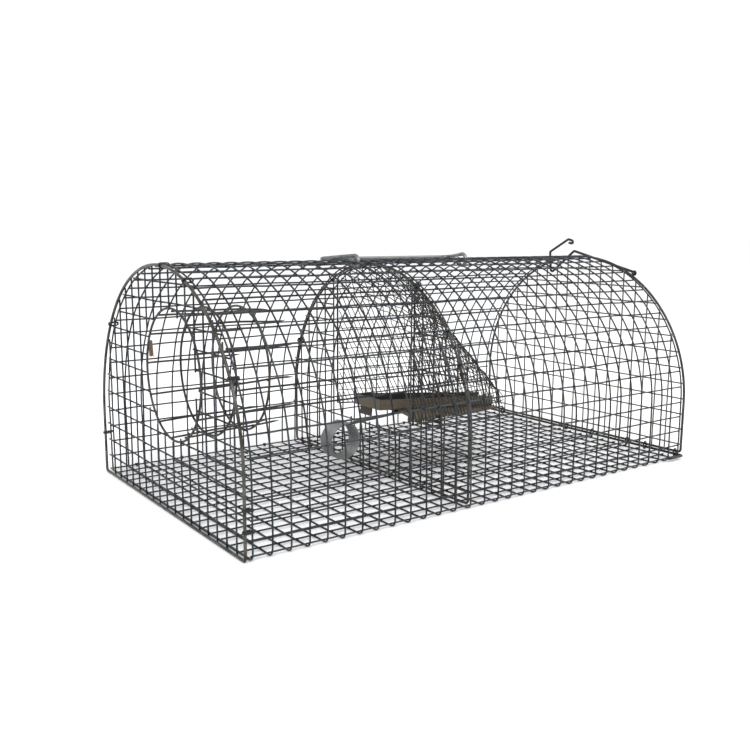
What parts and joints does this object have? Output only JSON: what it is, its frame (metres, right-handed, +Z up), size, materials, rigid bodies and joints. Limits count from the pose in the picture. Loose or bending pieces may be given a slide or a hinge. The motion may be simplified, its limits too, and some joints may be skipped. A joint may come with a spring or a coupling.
{
  "type": "live catch trap",
  "caption": "Half-barrel wire mesh live catch trap with a spiked entrance funnel, netted hood over a counterweighted see-saw platform, rear door, latch and carrying handle.",
  "frame": {"origin": "on the ground under the middle of the trap", "axes": "+X from the entrance to the rear door, +Y to the side that the handle lies on, +Z up"},
  "size_m": [0.4078, 0.2376, 0.1794],
  "materials": {
    "mesh_wire": "dull galvanised welded mesh wire, dark blue-grey",
    "frame_wire": "galvanised ring wire, light grey",
    "inner_wire": "galvanised wire with a brown tone",
    "hood_wire": "fine dark galvanised net wire",
    "funnel_wire": "galvanised wire, mid grey",
    "black_wire": "black coated wire, slightly glossy",
    "coil_wire": "dark grey drawn wire",
    "platform_sheet": "thin sheet metal, brown-grey and dull",
    "tab_sheet": "dark sheet metal",
    "handle_wire": "bright galvanised wire",
    "tag_sheet": "matt brown"
  },
  "bodies": {
    "cage": {"body_hoops": "mesh_wire", "roof_line_wires": "mesh_wire", "side_line_wires": "mesh_wire", "floor_line_wires": "mesh_wire", "seam_clips": "black_wire", "front_ring": "frame_wire", "front_uprights": "mesh_wire", "front_crosswires": "mesh_wire", "front_clips": "black_wire", "entrance_ring_outer": "funnel_wire", "entrance_ring_middle": "funnel_wire", "entrance_ring_inner": "funnel_wire", "entrance_spikes": "funnel_wire", "entrance_tag": "tag_sheet", "partition_ring": "inner_wire", "partition_uprights": "inner_wire", "partition_crosswires": "inner_wire", "partition_clips": "black_wire", "hood_mouth_wire": "hood_wire", "hood_length_wires": "hood_wire", "hood_cross_wires": "hood_wire", "hood_hem_wires": "hood_wire", "pivot_rod": "black_wire", "hinge_rod": "black_wire"},
    "door": {"door_ring": "frame_wire", "door_uprights": "mesh_wire", "door_crosswires": "mesh_wire", "door_hinge_loops": "black_wire", "latch_eye": "black_wire"},
    "latch": {"latch_wire": "black_wire"},
    "seesaw": {"platform_plate": "platform_sheet", "platform_channel": "platform_sheet", "platform_lugs": "platform_sheet", "platform_tab": "tab_sheet", "counterweight_arm": "coil_wire", "counterweight_coil": "coil_wire"},
    "handle": {"carry_handle": "handle_wire"}
  },
  "joints": [
    {"name": "door_hinge", "type": "hinge", "parent": "cage", "child": "door", "pos_m": [0.2004, 0, 0.0032], "axis": [0, 1, 0], "range_deg": [0, 90]},
    {"name": "latch_pivot", "type": "hinge", "parent": "door", "child": "latch", "pos_m": [0.2, -0.05946, 0.151], "axis": [1, 0, 0], "range_deg": [0, 75]},
    {"name": "platform_pivot", "type": "hinge", "parent": "cage", "child": "seesaw", "pos_m": [0.0004, 0, 0.0425], "axis": [0, 1, 0], "range_deg": [0, 25]},
    {"name": "handle_swing", "type": "hinge", "parent": "cage", "child": "handle", "pos_m": [0.0034, 0, 0.16265], "axis": [1, 0, 0], "range_deg": [0, 105]}
  ]
}
